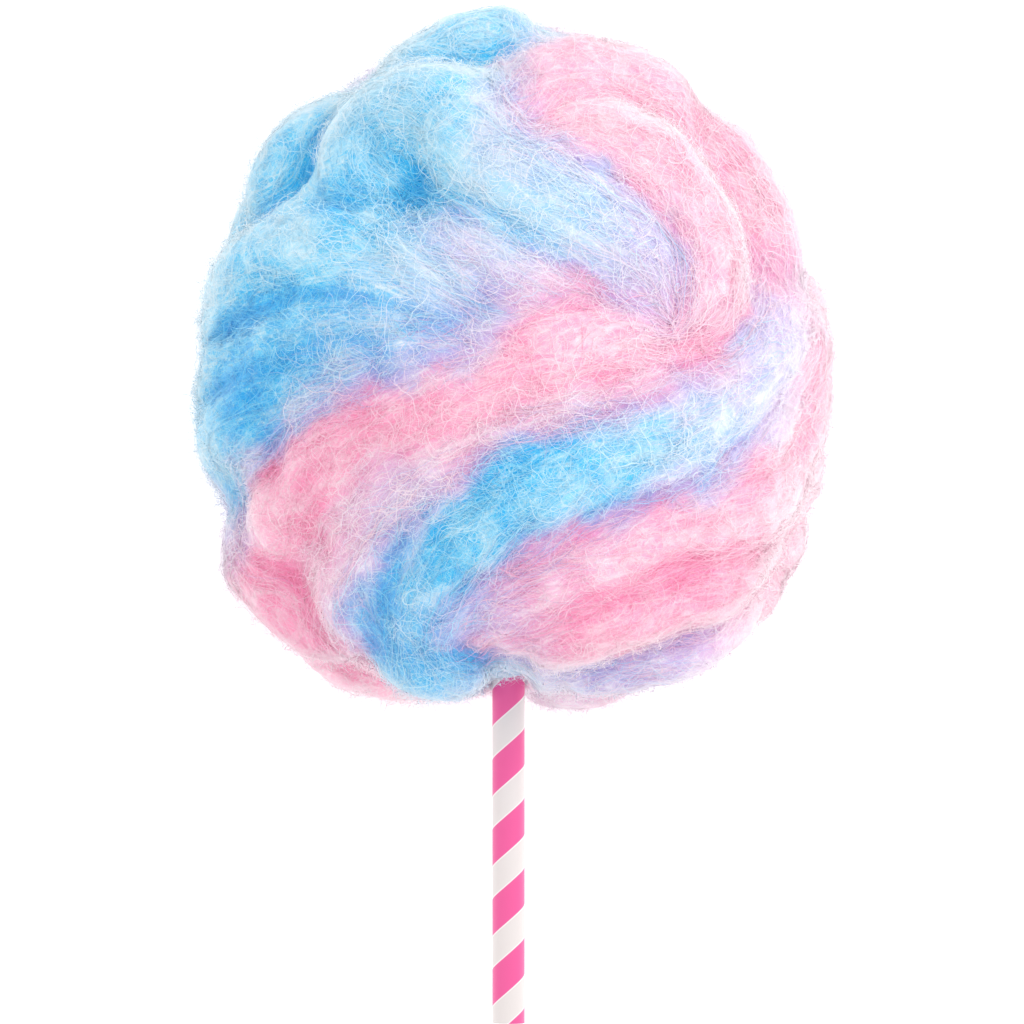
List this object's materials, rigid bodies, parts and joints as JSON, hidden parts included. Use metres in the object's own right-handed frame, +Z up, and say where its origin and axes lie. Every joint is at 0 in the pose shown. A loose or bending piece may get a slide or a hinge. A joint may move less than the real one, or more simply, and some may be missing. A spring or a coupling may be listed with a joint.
{
  "type": "cotton candy on a stick",
  "caption": "Puffed ball of spun sugar in folded bands of two pastel colours, wound round a spirally striped paper stick, lying on its back.",
  "frame": {"origin": "middle of the flat spot that the floss rests on, straight below the stick's axis", "axes": "+Y runs along the stick from its bare end to the crown of the floss, +Z is up, towards the shown side"},
  "size_m": [0.195, 0.3117, 0.1755],
  "materials": {
    "spun_sugar": "matte",
    "striped_paper": "satin"
  },
  "bodies": {
    "root": {"floss": "spun_sugar", "stick": "striped_paper"}
  },
  "joints": []
}
